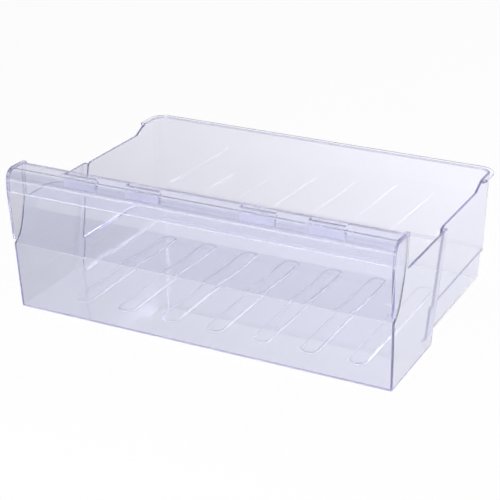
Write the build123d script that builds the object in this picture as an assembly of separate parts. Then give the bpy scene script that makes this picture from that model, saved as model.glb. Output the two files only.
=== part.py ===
"""Clear freezer drawer: a thin moulded tub and the grip handle that clips along its front edge.

Lengths are in millimetres. X runs across the drawer, Y from its front to its back, Z up. The
sizes below place Y = 0 at the foot of the front panel; the finished pieces are moved so that
the origin lies under the middle of the drawer's outer box.
"""
import os
from math import cos, radians, sin, tan

from build123d import *

# Both mouldings
wall = 2.5
clearance = 0.3

# Front section: the wide box behind the front panel, with a wing on each side
front_half_width = 215.0
side_draft = 0.8
panel_lean = 6.3
crease_height = 77.0
crease_radius = 2.0
front_edge_radius = 2.0
step_foot = 112.0
step_lean = 12.0
wing_height = 121.2

# Grip wall: the panel turns back above its crease and rises to carry the handle
grip_foot_angle = 30.0
grip_foot_radius = 30.0
grip_turn_angle = 68.0
grip_wall_y = 16.0
grip_height = 157.2
gusset_depth = 4.0
gusset_radius = 6.0

# Rear section: narrower, with a runner ledge along its sides and back
side_step = 7.6
rear_foot_y = 295.5
rear_draft = 1.0
rear_corner_radius = 10.0
floor_edge_radius = 9.0
ledge_height = 37.0
ledge_width = 2.4
ledge_chamfer = 1.4

# Rim of the rear section: low along the sides, then up an S-curve to the back
low_rim_height = 122.4
high_rim_height = 131.6
ramp_length = 4.0
ramp_radius = 2.0
s_curve_front = 243.0
s_curve_length = 20.0
s_curve_radius = 9.0
flange_width = 4.6
flange_thickness = 2.5
flange_end_radius = 3.0

# Long raised runners pressed into the floor
runner_count = 7
runner_pitch = 54.0
runner_width = 21.0
runner_front = 35.0
runner_back = 241.0
runner_rise = 1.0
runner_slope = 65.0

# Grip handle: rounded lip, flat top strip, and a cheek at each end
lip_overhang = 11.0
lip_drop = 24.0
lip_radius = 11.0
lip_edge_radius = 1.0
cheek_thickness = 3.0
cheek_overhang = 11.8
cheek_rise = 1.3
tip_lift = 4.0
tip_radius = 2.2
ear_length = 5.0
ear_radius = 3.5

# Snap hooks under the top strip, each below a window, and the catches that they hold
hook_offsets = (64.5, 138.5)
hook_width = 38.5
hook_length = 12.0
hook_thickness = 2.0
window_depth = 5.5
window_rear_bar = 3.0
barb_reach = 3.6
barb_height = 5.4
catch_reach = 4.2
catch_height = 2.4
catch_margin = 1.5

# Heights and reaches past the drawer, for cutting through it
open_height = grip_height + 40.0
beyond = 60.0

rear_half_width = front_half_width - side_step
grip_wall_rear = grip_wall_y + wall
strip_underside = grip_height + clearance
handle_top = strip_underside + wall
lip_bottom = handle_top - lip_drop
rim_outer_y = rear_foot_y + ledge_width + flange_width + high_rim_height * tan(radians(rear_draft))
hook_centres = [side * offset_x for offset_x in hook_offsets for side in (-1, 1)]


def across(profile, half_width=front_half_width + beyond):
    """Sweep a side profile, drawn in (Y, Z), across the drawer."""
    return extrude(Plane.YZ * profile, amount=half_width, both=True)


def front_view(inset):
    """The drafted front outline, drawn in by inset on each side, swept along Y."""
    foot = front_half_width - inset
    head = foot + open_height * tan(radians(side_draft))
    outline = Polyline((-foot, 0), (foot, 0), (head, open_height), (-head, open_height), close=True)
    return extrude(Plane.XZ * make_face(outline), amount=rear_foot_y + beyond, both=True)


def front_profile():
    """Side profile of the front section: leaning panel, curved grip wall and slanted rear step."""
    foot_direction = (cos(radians(grip_foot_angle)), sin(radians(grip_foot_angle)))
    panel = Line((0, 0), (-panel_lean, crease_height))
    foot = JernArc(panel @ 1, foot_direction, grip_foot_radius, grip_turn_angle - grip_foot_angle)
    rise_radius = (grip_wall_y - (foot @ 1).X) / (1 - sin(radians(grip_turn_angle)))
    rise = JernArc(foot @ 1, foot % 1, rise_radius, 90 - grip_turn_angle)
    step_head = step_foot + open_height * tan(radians(step_lean))
    rest = Polyline(rise @ 1, (grip_wall_y, open_height), (step_head, open_height),
                    (step_foot, 0), (0, 0))
    profile = make_face([panel, foot, rise, rest])
    crease = profile.vertices().sort_by_distance((-panel_lean, crease_height))[0]
    return fillet(crease, crease_radius)


def front_block(inset):
    """The front section as a block, drawn in by inset on every side."""
    return across(offset(front_profile(), -inset, kind=Kind.INTERSECTION)) & front_view(inset)


def rounded_front():
    """The outside of the front section, with its lower and upright edges rounded."""
    block = front_block(0)
    lower_edges = block.edges().filter_by(Axis.X).group_by(Axis.Z)[0]
    ends = block.faces().group_by(Axis.X)
    side_edges = (ends[0] + ends[-1]).edges().filter_by_position(Axis.Z, 0, open_height - wall)
    return fillet(lower_edges + side_edges, front_edge_radius)


def rear_plan(growth, start=step_foot - beyond / 2):
    """Plan of the rear section at floor level, from start to the back, grown at its sides and back."""
    depth = rear_foot_y + growth - start
    width = 2 * (rear_half_width + growth)
    plan = Pos(0, start) * Rectangle(width, depth, align=(Align.CENTER, Align.MIN))
    return fillet(plan.vertices().sort_by(Axis.Y)[-2:], rear_corner_radius + growth)


def rear_column(growth, low, high):
    """The rear plan swept up with the wall draft, between two heights."""
    column = extrude(rear_plan(growth), amount=high, taper=-rear_draft)
    span = 4 * (front_half_width + beyond)
    layer = Box(span, span, high - low, align=(Align.CENTER, Align.CENTER, Align.MIN))
    return column & Pos(0, 0, low) * layer


def foot_edges(column):
    """The bottom edges of a rear column along its sides and back."""
    return column.edges().group_by(Axis.Z)[0].sort_by(Axis.Y)[1:]


def rear_block(inset):
    """The rear section as a block, drawn in by inset: a lower part, and a wider one on the ledge."""
    ledge = ledge_height + inset
    lower = rear_column(-inset, inset, ledge)
    upper = rear_column(ledge_width - inset, ledge, open_height)
    lower = fillet(foot_edges(lower), floor_edge_radius - inset)
    return lower + chamfer(foot_edges(upper), ledge_chamfer)


def above_rim():
    """Side profile of everything above the rim line, from the grip wall to the back."""
    behind_grip = grip_wall_rear + gusset_depth
    step_top = step_foot + wing_height * tan(radians(step_lean))
    ceiling = open_height + beyond
    corners = [
        (-beyond, grip_height),
        (behind_grip, grip_height),
        (behind_grip, wing_height),
        (step_top, wing_height),
        (step_top + ramp_length, low_rim_height),
        (s_curve_front, low_rim_height),
        (s_curve_front + s_curve_length, high_rim_height),
        (rim_outer_y + beyond, high_rim_height),
        (rim_outer_y + beyond, ceiling),
        (-beyond, ceiling),
    ]
    profile = make_face(Polyline(*corners, close=True))
    radii = (gusset_radius, ramp_radius, ramp_radius, s_curve_radius, s_curve_radius)
    for corner, radius in zip(corners[2:], radii):
        profile = fillet(profile.vertices().sort_by_distance(corner)[0], radius)
    return profile


def rim_flange(rim_cut):
    """Outward flange that follows the rim from the head of each S-curve round the back."""
    plan = rear_plan(ledge_width + flange_width, s_curve_front + s_curve_length)
    plan = fillet(plan.vertices().sort_by(Axis.Y)[:2], flange_end_radius)
    ring = extrude(plan, amount=open_height, taper=-rear_draft)
    ring -= rear_column(ledge_width - wall / 2, 0, open_height)
    return ring & across(offset(rim_cut, flange_thickness) - rim_cut)


def floor_runners(base):
    """A row of long low pads with sloping edges, standing on a plane at height base."""
    length = runner_back - runner_front
    middle = (runner_front + runner_back) / 2
    pad = extrude(SlotOverall(length, runner_width, rotation=90), amount=runner_rise, taper=runner_slope)
    first = -(runner_count - 1) / 2 * runner_pitch
    return [Pos(first + i * runner_pitch, middle, base) * pad for i in range(runner_count)]


def hook_catches():
    """Ribs on the face of the grip wall that the handle's barbs hook under."""
    barb_top = strip_underside - hook_length + barb_height
    rib = Box(hook_width - 2 * catch_margin, catch_reach, catch_height,
              align=(Align.CENTER, Align.MAX, Align.MIN))
    return [Pos(x, grip_wall_y, barb_top + clearance) * rib for x in hook_centres]


def make_tub():
    """The moulded tub: hollow front and rear sections, rim flange, floor runners and catches."""
    rim_cut = above_rim()
    tub = rounded_front() + rear_block(0) - front_block(wall) - rear_block(wall)
    tub = tub - across(rim_cut) + rim_flange(rim_cut)
    tub = tub + floor_runners(wall) - floor_runners(0)
    return tub + hook_catches()


def cheek_profile():
    """Side profile of an end cheek: leaning front edge, round nose, flat top and a short rear ear."""
    top = handle_top + cheek_rise
    radius = lip_radius + cheek_rise
    ear_end = grip_wall_rear + ear_length
    front = Polyline((-panel_lean, crease_height), (-cheek_overhang, lip_bottom),
                     (-cheek_overhang, top - radius))
    nose = JernArc(front @ 1, (0, 1), radius, -90)
    rest = Polyline(nose @ 1, (ear_end, top), (ear_end, grip_height + clearance),
                    (grip_wall_y, grip_height + clearance), (grip_wall_y, crease_height),
                    (-panel_lean, crease_height))
    profile = make_face([front, nose, rest])
    return fillet(profile.vertices().sort_by_distance((ear_end, top))[0], ear_radius)


def strip_profile():
    """Side profile of the handle between its cheeks: lip, round nose and top strip."""
    front = Line((-lip_overhang, lip_bottom), (-lip_overhang, handle_top - lip_radius))
    nose = JernArc(front @ 1, (0, 1), lip_radius, -90)
    top = Polyline(nose @ 1, (grip_wall_rear, handle_top), (grip_wall_rear, strip_underside),
                   (lip_radius - lip_overhang, strip_underside))
    inner_nose = JernArc(top @ 1, (-1, 0), lip_radius - wall, 90)
    lip = Polyline(inner_nose @ 1, (wall - lip_overhang, lip_bottom), (-lip_overhang, lip_bottom))
    profile = make_face([front, nose, top, inner_nose, lip])
    return fillet(profile.vertices().group_by(Axis.Y)[0], lip_edge_radius)


def hook_profile():
    """Side profile of a snap hook: a tab that hangs at the window's front edge, barb at the rear."""
    rear = grip_wall_rear - window_rear_bar - window_depth
    bottom = strip_underside - hook_length
    barb_top = bottom + barb_height
    return make_face(Polyline(
        (rear - hook_thickness, strip_underside), (rear - hook_thickness, bottom), (rear, bottom),
        (rear + barb_reach, barb_top), (rear, barb_top), (rear, strip_underside), close=True))


def below(height):
    """The space under a height, wider than the drawer."""
    space = Box(2 * (front_half_width + beyond), 2 * beyond, 2 * grip_height,
                align=(Align.CENTER, Align.CENTER, Align.MAX))
    return Pos(0, 0, height) * space


def make_cheeks():
    """Both end cheeks: held clear of the tub, with round tips just above the crease."""
    front_clear = across(offset(front_profile(), clearance, kind=Kind.INTERSECTION))
    cheeks = across(cheek_profile()) & front_view(0)
    cheeks = cheeks - front_view(cheek_thickness) - (front_clear & below(strip_underside))
    cheeks = cheeks - below(crease_height + tip_lift)
    return fillet(cheeks.edges().filter_by(Axis.X).group_by(Axis.Z)[0], tip_radius)


def make_handle():
    """The grip handle: slotted strip with snap hooks between two end cheeks."""
    strip = across(strip_profile()) & front_view(cheek_thickness)
    window_y = grip_wall_rear - window_rear_bar
    window = Box(hook_width, window_depth, 2 * wall, align=(Align.CENTER, Align.MAX, Align.CENTER))
    hook = across(hook_profile(), hook_width / 2)
    strip -= [Pos(x, window_y, handle_top) * window for x in hook_centres]
    return make_cheeks() + strip + [Pos(x, 0, 0) * hook for x in hook_centres]


def main():
    """Build both mouldings, move them over the common origin and write one file for each."""
    os.makedirs("parts", exist_ok=True)
    middle_y = (rim_outer_y - cheek_overhang) / 2
    for name, solid in (("drawer_tub", make_tub()), ("handle", make_handle())):
        export_step(Pos(0, -middle_y, 0) * solid, f"parts/{name}.step")


main()
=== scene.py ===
from math import cos, radians, sin

import bmesh
import bpy
from mathutils import Matrix, Vector

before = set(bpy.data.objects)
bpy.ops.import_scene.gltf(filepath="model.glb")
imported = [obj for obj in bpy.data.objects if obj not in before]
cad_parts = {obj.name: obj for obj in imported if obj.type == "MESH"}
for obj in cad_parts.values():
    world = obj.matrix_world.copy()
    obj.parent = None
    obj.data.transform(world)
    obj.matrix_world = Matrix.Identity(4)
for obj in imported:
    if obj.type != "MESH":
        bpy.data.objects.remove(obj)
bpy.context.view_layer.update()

# The camera stands in front of the drawer, to its right and above it: metres, degrees, millimetres
CAMERA_PLACE = Vector((0.6360, -1.3104, 0.6785))
CAMERA_AZIMUTH = 26.283
CAMERA_ELEVATION = 23.274
CAMERA_ROLL = 0.277
CAMERA_LENS = 104.05
CAMERA_SENSOR = 36.0

# Clear polystyrene with a faint lilac cast, deeper where light runs far inside it; painted shade and
# highlights on its edges
PLASTIC_IOR = 1.58
LILAC = (0.893, 0.90, 0.962, 1.0)
LILAC_DEPTH = (0.1, 0.0, 0.72, 1.0)
LILAC_DENSITY = 7.0
# Painted violet shade along sharp edges of the tub and the handle, then the painted white highlight
TUB_PAINTED_EDGE_SHADE = (0.25, 0.23, 0.40, 1.0)
HANDLE_PAINTED_EDGE_SHADE = (0.16, 0.14, 0.28, 1.0)
PAINTED_HIGHLIGHT_COLOUR = (0.96, 0.96, 0.98, 1.0)
SHADOW_TINT = (0.93, 0.93, 0.96, 1.0)
CLEAR_SHARE = 0.95
PAINTED_LINE_CLEAR_LOSS = 0.6

# A sharp edge, where shade and highlights are painted: its width in metres, and the cosines of the bend
# at which the painted colour starts and is full
EDGE_WIDTH = 0.001
EDGE_SAMPLES = 8
EDGE_START = 0.96
EDGE_FULL = 0.86

# Haze on the polished faces, as patches of roughness
TUB_HAZE_SCALE = 60.0
HANDLE_HAZE_SCALE = 80.0
HAZE_DETAIL = 4.0
HAZE_GRAIN = 0.6
HAZE_START = 0.3
HAZE_FULL = 0.75
HAZE_ROUGHNESS = 0.05

# Slow waves in the moulded faces; the depth is in metres
TUB_WAVE_SCALE = 14.0
HANDLE_WAVE_SCALE = 20.0
WAVE_DETAIL = 1.0
WAVE_GRAIN = 0.4
WAVE_STRENGTH = 0.05
WAVE_DEPTH = 0.002

# Places on the tub, in metres: where its rims start, the foot of its front, the top of its runners
RIM_FOOT = 0.1195
FOOT_HEIGHT = 0.0025
FOOT_FRONT = -0.1435
RUNNER_TOP = 0.0045

# How far upwards the slopes of the runners face, and how much that may be off
RUNNER_TILT = 0.906
RUNNER_TILT_REACH = 0.03

# How strongly the painted white highlight shows on the tub's foot, runners and low edges, and how frosted
# runners and low edges are
FOOT_PAINTED_HIGHLIGHT = 0.55
RUNNER_PAINTED_HIGHLIGHT = 0.4
RUNNER_FROST = 0.06
LOW_EDGE_FROST = 0.4

# Places on the handle, in metres: across from the middle, then front to back, then upwards
INNER_WINDOW = 0.0645
OUTER_WINDOW = 0.1385
WINDOW_REACH = 0.0193
CHEEK_INSIDE = 0.2105
LIP_FRONT = -0.1545
NOSE_START = -0.1465
HOOK_FRONT = -0.1400
WINDOW_FRONT = -0.1374
LIP_EDGE = 0.1363
NOSE_TANGENT_HEIGHT = 0.1497
FOLD_HEIGHT = 0.1535
STRIP_FOOT = 0.157
FACE_REACH = 0.0010
LINE_REACH = 0.0007

# How strongly the handle's painted shade lines, painted highlight lines and frosted hooks show, and how
# much painted violet shade the edges at its windows lose
CHEEK_PAINTED_SHADE = 0.4
NOSE_PAINTED_SHADE = 0.6
FOLD_PAINTED_SHADE = 0.20
WINDOW_LOSS = 0.75
TANGENT_PAINTED_HIGHLIGHT = 0.38
LIP_PAINTED_HIGHLIGHT = 0.40
HOOK_FROST = 0.40

# The floor lies just below the drawer; metres, and the share of its white that each kind of ray sees
FLOOR_HALF_SIZE = 6.0
FLOOR_HEIGHT = -0.0005
FLOOR_CARD = (0.9, 0.9, 0.9, 1.0)
FLOOR_SEEN = 0.94
FLOOR_SEEN_THROUGH = 0.75

# Through the plastic the floor shows a painted shade: dark in front on the left, and bright behind on the
# right
SHADE_DIRECTION = (0.62, 0.78, 0.0)
SHADE_REACH = 0.4
SHADE_DARK = 0.48
SHADE_BRIGHT = 1.12

# The studio fades from white behind the drawer to dim violet in front of it
WHITE = (1.0, 1.0, 1.0, 1.0)
DIM_VIOLET = (0.035, 0.03, 0.11, 1.0)
DIM_END = -0.2
WHITE_START = 0.6

# A softbox is brightest round its middle and dark at its rim
LAMP_MIDDLE = (0.5, 0.5, 0.0)
LAMP_CORE = 0.15
LAMP_RIM = 0.5
LAMP_PEAK = 1.6

# Softboxes: place, the point they aim at, width and height in metres, and power in watts
SOFTBOXES = {
    "back_softbox": ((0.0, 1.25, 0.95), (0.0, 0.0, 0.05), 0.6, 0.4, 1.3),
    "front_softbox": ((0.09, -1.24, 0.70), (0.0, 0.0, 0.0), 0.66, 0.44, 20.0),
    "fill_softbox": ((0.8, 0.9, 1.6), (0.0, 0.0, 0.0), 1.2, 1.2, 14.0),
    "ledge_softbox": ((0.40, 1.30, 0.84), (-0.2, 0.05, 0.04), 0.32, 0.26, 1.0),
}

# Light passes many clear walls before it ends
BOUNCES = 32


def node(tree, kind, **values):
    """Add a shader node and set its named inputs."""
    made = tree.nodes.new(kind)
    for name, value in values.items():
        made.inputs[name.replace("_", " ")].default_value = value
    return made


def feed(tree, socket, value):
    """Link a socket to another one, or set it to a plain value."""
    if isinstance(value, bpy.types.NodeSocket):
        tree.links.new(value, socket)
    else:
        socket.default_value = value


def calc(tree, operation, *values):
    """Add a math node; values are numbers or sockets."""
    made = tree.nodes.new("ShaderNodeMath")
    made.operation = operation
    for socket, value in zip(made.inputs, values):
        feed(tree, socket, value)
    return made.outputs["Value"]


def compare_vectors(tree, operation, first, second):
    """Add a vector math node that gives one number for two vectors."""
    made = tree.nodes.new("ShaderNodeVectorMath")
    made.operation = operation
    feed(tree, made.inputs[0], first)
    feed(tree, made.inputs[1], second)
    return made.outputs["Value"]


def spread(tree, value, start, end, low=0.0, high=1.0, easing="LINEAR"):
    """Turn what runs from start to end into what runs from low to high."""
    made = node(tree, "ShaderNodeMapRange", From_Min=start, From_Max=end, To_Min=low, To_Max=high)
    made.interpolation_type = easing
    tree.links.new(value, made.inputs["Value"])
    return made.outputs["Result"]


def mix_colours(tree, share, first, second):
    """Mix two colours or colour sockets."""
    made = tree.nodes.new("ShaderNodeMix")
    made.data_type = "RGBA"
    feed(tree, made.inputs["Factor"], share)
    feed(tree, made.inputs["A"], first)
    feed(tree, made.inputs["B"], second)
    return made.outputs["Result"]


def mix_shaders(tree, share, first, second):
    """Mix two shaders."""
    made = tree.nodes.new("ShaderNodeMixShader")
    tree.links.new(share, made.inputs["Fac"])
    tree.links.new(first, made.inputs[1])
    tree.links.new(second, made.inputs[2])
    return made.outputs["Shader"]


def empty_material(name):
    """A material with an output node and nothing else."""
    material = bpy.data.materials.new(name)
    material.use_nodes = True
    tree = material.node_tree
    tree.nodes.clear()
    return material, tree, tree.nodes.new("ShaderNodeOutputMaterial")


def edge_mask(tree):
    """One along the sharp edges of a moulding, nothing on its faces."""
    eased = node(tree, "ShaderNodeBevel", Radius=EDGE_WIDTH)
    eased.samples = EDGE_SAMPLES
    facing = node(tree, "ShaderNodeNewGeometry")
    bend = compare_vectors(tree, "DOT_PRODUCT", eased.outputs["Normal"], facing.outputs["True Normal"])
    return spread(tree, calc(tree, "ABSOLUTE", bend), EDGE_START, EDGE_FULL)


def runner_slopes(tree, height):
    """One on the sloping sides of the runners in the floor, nothing elsewhere."""
    facing = node(tree, "ShaderNodeNewGeometry")
    tilt = node(tree, "ShaderNodeSeparateXYZ")
    tree.links.new(facing.outputs["True Normal"], tilt.inputs["Vector"])
    upwards = calc(tree, "ABSOLUTE", tilt.outputs["Z"])
    sloping = calc(tree, "COMPARE", upwards, RUNNER_TILT, RUNNER_TILT_REACH)
    on_floor = calc(tree, "LESS_THAN", height, RUNNER_TOP)
    return calc(tree, "MULTIPLY", sloping, on_floor)


def tub_edges(tree, spot):
    """Masks for the tub: painted violet shade along its rims, and along its low edges, the foot of its
    front and the slopes of its runners a painted white highlight that lets less light through, and frost."""
    depth = spot.outputs["Y"]
    height = spot.outputs["Z"]

    edges = edge_mask(tree)
    # Painted violet shade on the edges of the rims
    on_rim = calc(tree, "GREATER_THAN", height, RIM_FOOT)
    violet = calc(tree, "MULTIPLY", edges, on_rim)
    low_edges = calc(tree, "SUBTRACT", edges, violet)

    # Painted white highlight along the foot of the front and the low edges
    at_foot = calc(tree, "LESS_THAN", height, FOOT_HEIGHT)
    in_front = calc(tree, "LESS_THAN", depth, FOOT_FRONT)
    foot = calc(tree, "MULTIPLY", at_foot, in_front)
    foot_painted_highlight = calc(tree, "MULTIPLY", foot, FOOT_PAINTED_HIGHLIGHT)
    edge_painted_highlight = calc(tree, "MAXIMUM", foot_painted_highlight, low_edges)
    edge_frost = calc(tree, "MULTIPLY", edge_painted_highlight, LOW_EDGE_FROST)

    # Painted white highlight, with a little frost, on the runner slopes
    slopes = runner_slopes(tree, height)
    slope_painted_highlight = calc(tree, "MULTIPLY", slopes, RUNNER_PAINTED_HIGHLIGHT)
    slope_frost = calc(tree, "MULTIPLY", slopes, RUNNER_FROST)
    white = calc(tree, "MAXIMUM", edge_painted_highlight, slope_painted_highlight)
    frost = calc(tree, "MAXIMUM", edge_frost, slope_frost)
    return violet, white, white, frost


def handle_edges(tree, spot):
    """Masks for the handle: painted violet shade along its top edges, cheeks, window fronts, nose and
    fold, painted white highlight along the lip's edge and the nose's tangent, less light through there
    and on the window fronts, and frost on the hooks."""
    aside = calc(tree, "ABSOLUTE", spot.outputs["X"])
    depth = spot.outputs["Y"]
    height = spot.outputs["Z"]

    # Painted violet shade along the strip's top edges and cheeks, weaker at the windows
    inner = calc(tree, "COMPARE", aside, INNER_WINDOW, WINDOW_REACH)
    outer = calc(tree, "COMPARE", aside, OUTER_WINDOW, WINDOW_REACH)
    window = calc(tree, "ADD", inner, outer)
    on_top = calc(tree, "GREATER_THAN", height, STRIP_FOOT)
    at_cheek = calc(tree, "GREATER_THAN", aside, CHEEK_INSIDE)
    cheek_share = calc(tree, "MULTIPLY", at_cheek, CHEEK_PAINTED_SHADE)
    edge_share = calc(tree, "MAXIMUM", on_top, cheek_share)
    strip_edges = calc(tree, "MULTIPLY", edge_mask(tree), edge_share)
    window_share = calc(tree, "MULTIPLY_ADD", window, -WINDOW_LOSS, 1.0)
    top_edges = calc(tree, "MULTIPLY", strip_edges, window_share)

    # Painted violet shade on the front faces of the windows
    window_face = calc(tree, "COMPARE", depth, WINDOW_FRONT, FACE_REACH)
    window_front = calc(tree, "MULTIPLY", window_face, window)
    top_window = calc(tree, "MULTIPLY", window_front, on_top)
    strip_painted_shade = calc(tree, "MAXIMUM", top_edges, top_window)

    # Painted violet shade lines along the nose and the fold
    nose_start = calc(tree, "COMPARE", depth, NOSE_START, LINE_REACH)
    nose_top = calc(tree, "MULTIPLY", nose_start, on_top)
    nose_line = calc(tree, "MULTIPLY", nose_top, NOSE_PAINTED_SHADE)
    in_front = calc(tree, "LESS_THAN", depth, LIP_FRONT)
    fold = calc(tree, "COMPARE", height, FOLD_HEIGHT, LINE_REACH)
    fold_share = calc(tree, "MULTIPLY", fold, FOLD_PAINTED_SHADE)
    fold_line = calc(tree, "MULTIPLY", fold_share, in_front)
    front_painted_shade = calc(tree, "MAXIMUM", nose_line, fold_line)
    violet = calc(tree, "MAXIMUM", strip_painted_shade, front_painted_shade)

    # Painted white highlight lines along the lip's edge and the nose's tangent
    lip_edge = calc(tree, "COMPARE", height, LIP_EDGE, LINE_REACH)
    lip_painted_highlight = calc(tree, "MULTIPLY", lip_edge, LIP_PAINTED_HIGHLIGHT)
    tangent_line = calc(tree, "COMPARE", height, NOSE_TANGENT_HEIGHT, LINE_REACH)
    tangent_painted_highlight = calc(tree, "MULTIPLY", tangent_line, TANGENT_PAINTED_HIGHLIGHT)
    front_painted_highlight = calc(tree, "MAXIMUM", lip_painted_highlight, tangent_painted_highlight)
    white = calc(tree, "MULTIPLY", front_painted_highlight, in_front)
    painted_line_cover = calc(tree, "MAXIMUM", white, top_window)

    below_strip = calc(tree, "LESS_THAN", height, STRIP_FOOT)
    behind_lip = calc(tree, "GREATER_THAN", depth, HOOK_FRONT)
    hook = calc(tree, "MULTIPLY", below_strip, behind_lip)
    hook_faces = calc(tree, "MULTIPLY", hook, window)
    frost = calc(tree, "MULTIPLY", hook_faces, HOOK_FROST)
    return violet, white, painted_line_cover, frost


def clear_plastic(name, haze_scale, wave_scale, painted_edge_shade, edge_masks):
    """Polished clear moulding: wavy faces, faint haze, and lilac where light runs far inside it.
    Its masks say where it takes a painted shade in the edge colour, where a painted white highlight,
    where it lets less light through so that these painted lines show, and where it is frosted."""
    material, tree, out = empty_material(name)
    link = tree.links.new
    place = node(tree, "ShaderNodeTexCoord")
    spot = node(tree, "ShaderNodeSeparateXYZ")
    link(place.outputs["Object"], spot.inputs["Vector"])
    violet, white, painted_line_cover, frost = edge_masks(tree, spot)

    shell = node(tree, "ShaderNodeBsdfPrincipled", IOR=PLASTIC_IOR)
    # Painted violet shade, then painted white highlight, over the lilac
    tint = mix_colours(tree, violet, LILAC, painted_edge_shade)
    link(mix_colours(tree, white, tint, PAINTED_HIGHLIGHT_COLOUR), shell.inputs["Base Color"])
    # Less light passes through where lines are painted
    clear = calc(tree, "MULTIPLY_ADD", painted_line_cover, -PAINTED_LINE_CLEAR_LOSS, CLEAR_SHARE)
    link(clear, shell.inputs["Transmission Weight"])

    haze = node(tree, "ShaderNodeTexNoise", Scale=haze_scale, Detail=HAZE_DETAIL, Roughness=HAZE_GRAIN)
    link(place.outputs["Object"], haze.inputs["Vector"])
    haze_patches = spread(tree, haze.outputs["Fac"], HAZE_START, HAZE_FULL, high=HAZE_ROUGHNESS)
    link(calc(tree, "ADD", haze_patches, frost), shell.inputs["Roughness"])

    wave = node(tree, "ShaderNodeTexNoise", Scale=wave_scale, Detail=WAVE_DETAIL, Roughness=WAVE_GRAIN)
    link(place.outputs["Object"], wave.inputs["Vector"])
    bump = node(tree, "ShaderNodeBump", Strength=WAVE_STRENGTH, Distance=WAVE_DEPTH)
    link(wave.outputs["Fac"], bump.inputs["Height"])
    link(bump.outputs["Normal"], shell.inputs["Normal"])

    path = node(tree, "ShaderNodeLightPath")
    pass_through = node(tree, "ShaderNodeBsdfTransparent", Color=SHADOW_TINT)
    surface = mix_shaders(
        tree, path.outputs["Is Shadow Ray"], shell.outputs["BSDF"], pass_through.outputs["BSDF"])
    link(surface, out.inputs["Surface"])
    inside = node(tree, "ShaderNodeVolumeAbsorption", Color=LILAC_DEPTH, Density=LILAC_DENSITY)
    link(inside.outputs["Volume"], out.inputs["Volume"])
    return material


def studio_white():
    """Pale card that shows as white, keeps a trace of a shadow, and glows with a painted shade where it
    is seen through plastic.
    """
    material, tree, out = empty_material("studio_white")
    link = tree.links.new
    path = node(tree, "ShaderNodeLightPath")
    place = node(tree, "ShaderNodeTexCoord")
    toward_back = compare_vectors(tree, "DOT_PRODUCT", place.outputs["Object"], SHADE_DIRECTION)
    # Painted shade for rays that come through the plastic
    shade = spread(tree, toward_back, -SHADE_REACH, SHADE_REACH, SHADE_DARK, SHADE_BRIGHT)
    strength = node(tree, "ShaderNodeMix", A=1.0)
    link(path.outputs["Is Transmission Ray"], strength.inputs["Factor"])
    link(shade, strength.inputs["B"])
    glow = node(tree, "ShaderNodeEmission")
    link(strength.outputs["Result"], glow.inputs["Strength"])

    seen = calc(tree, "MULTIPLY", path.outputs["Is Camera Ray"], FLOOR_SEEN)
    mirrored = calc(tree, "MAXIMUM", seen, path.outputs["Is Glossy Ray"])
    seen_through = calc(tree, "MULTIPLY", path.outputs["Is Transmission Ray"], FLOOR_SEEN_THROUGH)
    share = calc(tree, "MAXIMUM", mirrored, seen_through)
    card = node(tree, "ShaderNodeBsdfDiffuse", Color=FLOOR_CARD)
    surface = mix_shaders(tree, share, card.outputs["BSDF"], glow.outputs["Emission"])
    link(surface, out.inputs["Surface"])
    return material


def white_floor():
    """A wide floor of studio white."""
    bm = bmesh.new()
    bmesh.ops.create_grid(bm, x_segments=1, y_segments=1, size=FLOOR_HALF_SIZE)
    mesh = bpy.data.meshes.new("white_floor")
    bm.to_mesh(mesh)
    bm.free()
    mesh.materials.append(studio_white())
    floor = bpy.data.objects.new("white_floor", mesh)
    floor.location.z = FLOOR_HEIGHT
    bpy.context.scene.collection.objects.link(floor)


def studio_world():
    """White behind the drawer and dim violet in front of it; the camera itself sees plain white."""
    world = bpy.data.worlds.new("studio")
    bpy.context.scene.world = world
    world.use_nodes = True
    tree = world.node_tree
    tree.nodes.clear()
    link = tree.links.new
    out = tree.nodes.new("ShaderNodeOutputWorld")
    place = node(tree, "ShaderNodeTexCoord")
    split = node(tree, "ShaderNodeSeparateXYZ")
    link(place.outputs["Generated"], split.inputs["Vector"])
    behind = spread(tree, split.outputs["Y"], DIM_END, WHITE_START)
    room = node(tree, "ShaderNodeBackground", Strength=1.0)
    link(mix_colours(tree, behind, DIM_VIOLET, WHITE), room.inputs["Color"])
    backdrop = node(tree, "ShaderNodeBackground", Color=WHITE, Strength=1.0)
    path = node(tree, "ShaderNodeLightPath")
    surface = mix_shaders(
        tree, path.outputs["Is Camera Ray"], room.outputs["Background"], backdrop.outputs["Background"])
    link(surface, out.inputs["Surface"])


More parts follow.
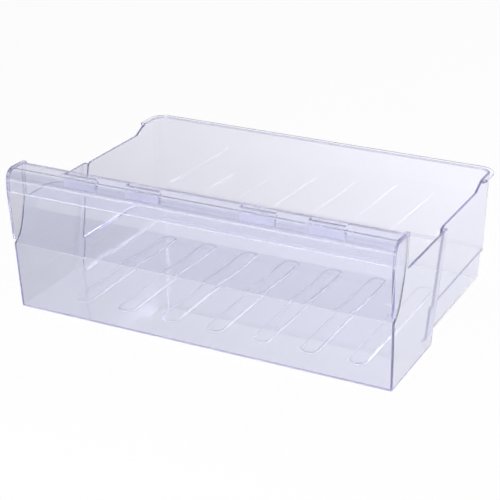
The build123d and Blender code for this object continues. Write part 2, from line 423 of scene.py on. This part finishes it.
def soft_lamp(name, place, target, width, height, power):
    """A softbox that fades towards its rim, aimed at the drawer."""
    lamp = bpy.data.lights.new(name, "AREA")
    lamp.shape = "RECTANGLE"
    lamp.size = width
    lamp.size_y = height
    lamp.energy = power
    lamp.use_nodes = True
    tree = lamp.node_tree
    across = node(tree, "ShaderNodeNewGeometry")
    off_middle = compare_vectors(tree, "DISTANCE", across.outputs["Parametric"], LAMP_MIDDLE)
    fade = spread(tree, off_middle, LAMP_CORE, LAMP_RIM, LAMP_PEAK, 0.0, "SMOOTHSTEP")
    tree.links.new(fade, tree.nodes["Emission"].inputs["Strength"])
    holder = bpy.data.objects.new(name, lamp)
    holder.location = place
    holder.rotation_euler = (Vector(target) - Vector(place)).to_track_quat("-Z", "Y").to_euler()
    bpy.context.scene.collection.objects.link(holder)


def photo_camera():
    """The camera at the photograph's viewing angle."""
    azimuth = radians(CAMERA_AZIMUTH)
    elevation = radians(CAMERA_ELEVATION)
    roll = radians(CAMERA_ROLL)
    level = Vector((cos(azimuth), sin(azimuth), 0))
    back = Vector((sin(azimuth) * cos(elevation), -cos(azimuth) * cos(elevation), sin(elevation)))
    upright = back.cross(level)
    right = cos(roll) * level + sin(roll) * upright
    up = cos(roll) * upright - sin(roll) * level
    data = bpy.data.cameras.new("photo_camera")
    data.lens = CAMERA_LENS
    data.sensor_width = CAMERA_SENSOR
    camera = bpy.data.objects.new("photo_camera", data)
    turn = Matrix((right, up, back)).transposed()
    camera.matrix_world = Matrix.Translation(CAMERA_PLACE) @ turn.to_4x4()
    bpy.context.scene.collection.objects.link(camera)
    bpy.context.scene.camera = camera


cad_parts["drawer_tub"].material_slots[0].material = clear_plastic(
    "clear_tub_plastic", TUB_HAZE_SCALE, TUB_WAVE_SCALE, TUB_PAINTED_EDGE_SHADE, tub_edges)
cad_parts["handle"].material_slots[0].material = clear_plastic(
    "clear_handle_plastic", HANDLE_HAZE_SCALE, HANDLE_WAVE_SCALE, HANDLE_PAINTED_EDGE_SHADE, handle_edges)

white_floor()
studio_world()
for lamp_name, settings in SOFTBOXES.items():
    soft_lamp(lamp_name, *settings)
photo_camera()

scene = bpy.context.scene
scene.view_settings.view_transform = "Standard"
scene.cycles.max_bounces = BOUNCES
scene.cycles.transmission_bounces = BOUNCES
scene.cycles.glossy_bounces = BOUNCES
scene.cycles.transparent_max_bounces = BOUNCES
